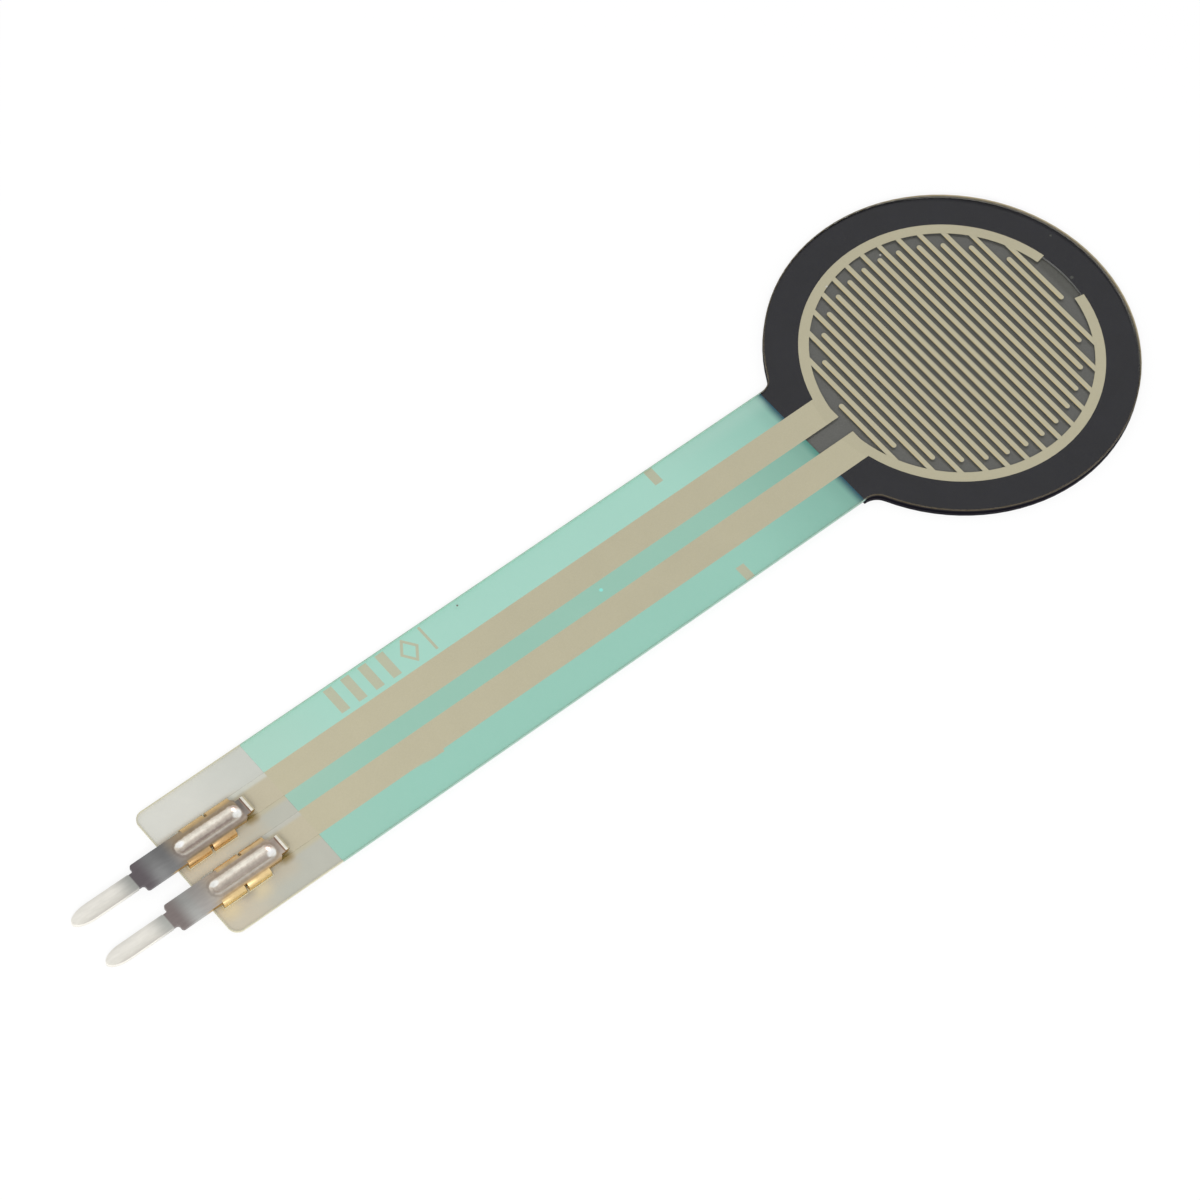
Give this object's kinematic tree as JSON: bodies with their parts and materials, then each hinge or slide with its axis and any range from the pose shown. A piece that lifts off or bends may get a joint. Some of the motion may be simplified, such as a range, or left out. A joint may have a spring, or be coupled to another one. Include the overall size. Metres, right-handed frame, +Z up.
{
  "type": "force sensing resistor",
  "caption": "Round force sensing resistor: printed film head over a grey sensing ink, flat tail with traces, and crimped solder pins at its end.",
  "frame": {"origin": "centre of the round sensing area, on the rear adhesive face that is stuck down in use", "axes": "+Z up through the layers towards the pressed side; +X away from the tail, so the tail and its solder pins run along -X; +Y towards the printed marks"},
  "size_m": [0.0609, 0.0182, 0.0009],
  "materials": {
    "clear_film": "clear polyester film, smooth",
    "silver_ink": "dull silver ink seen through the clear film",
    "green_coat": "pale green translucent coat, smooth",
    "spacer": "black adhesive seen through the clear film",
    "sensing_ink": "dull grey carbon ink",
    "sensing_film": "dark backed film, satin edge",
    "rear_adhesive": "black adhesive, dull",
    "contact_metal": "tin plated strip, satin, with brass at the bends"
  },
  "bodies": {
    "root": {"base_film": "clear_film", "electrode_a": "silver_ink", "electrode_b": "silver_ink", "tail_coat": "green_coat", "spacer_adhesive": "spacer", "sensing_ink": "sensing_ink", "sensing_film": "sensing_film", "rear_adhesive": "rear_adhesive", "edge_tick_a": "silver_ink", "edge_tick_b": "silver_ink", "index_bar_1": "silver_ink", "index_bar_2": "silver_ink", "index_bar_3": "silver_ink", "index_bar_4": "silver_ink", "index_diamond": "silver_ink", "index_stroke": "silver_ink", "contact_a": "contact_metal", "contact_b": "contact_metal"}
  },
  "joints": []
}
